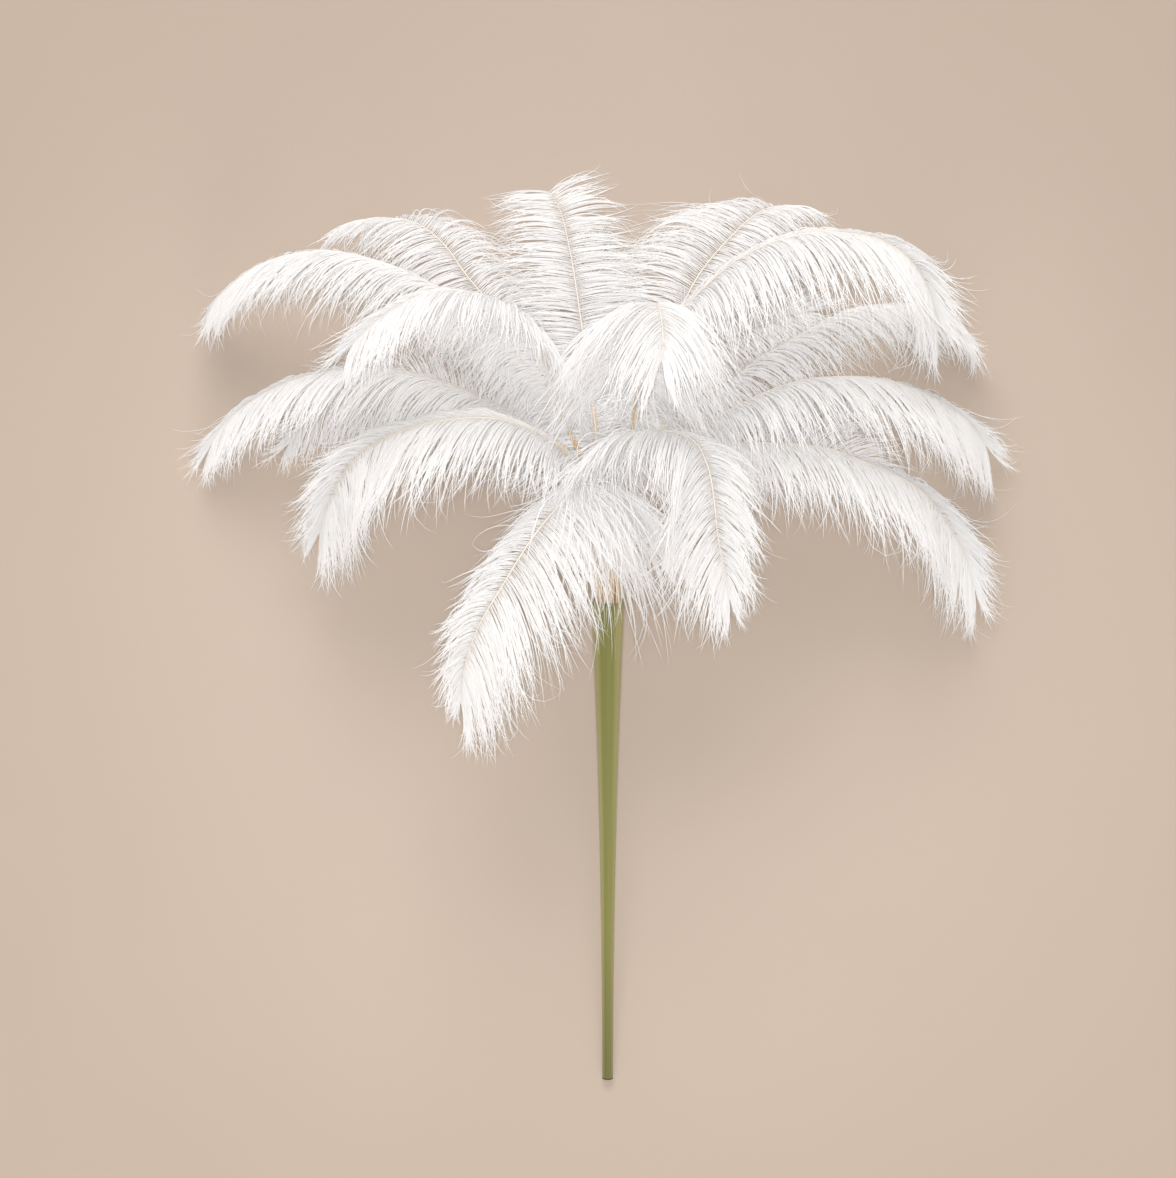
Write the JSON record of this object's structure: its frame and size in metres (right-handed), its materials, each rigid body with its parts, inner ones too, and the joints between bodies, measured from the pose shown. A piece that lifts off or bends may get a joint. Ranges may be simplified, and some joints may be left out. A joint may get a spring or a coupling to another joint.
{
  "type": "ostrich feather spray",
  "caption": "Spray of long white ostrich plumes arching like a palm crown out of one slim tapered green stem, lying on its side on a surface.",
  "frame": {"origin": "on the surface that the spray lies on, under the middle of its outline", "axes": "+Y along the stem from its foot towards the plumes, which is up in the picture; +X to the right as seen from above with +Y up; +Z up from the surface"},
  "size_m": [0.9744, 1.0772, 0.4304],
  "materials": {
    "plume": "matte",
    "stem": "satin"
  },
  "bodies": {
    "root": {"stem": "stem", "plume_front_dome": "plume", "plume_left_dome": "plume", "plume_right_crown": "plume", "plume_left_high": "plume", "plume_right_high": "plume", "plume_top": "plume", "plume_front_left": "plume", "plume_front_right": "plume", "plume_left_low": "plume", "plume_right_low": "plume", "plume_right_middle": "plume", "plume_left_middle": "plume", "plume_back_left": "plume", "plume_back_right": "plume", "plume_back_middle": "plume", "plume_under_left": "plume", "plume_under_middle": "plume", "plume_under_right": "plume"}
  },
  "joints": []
}
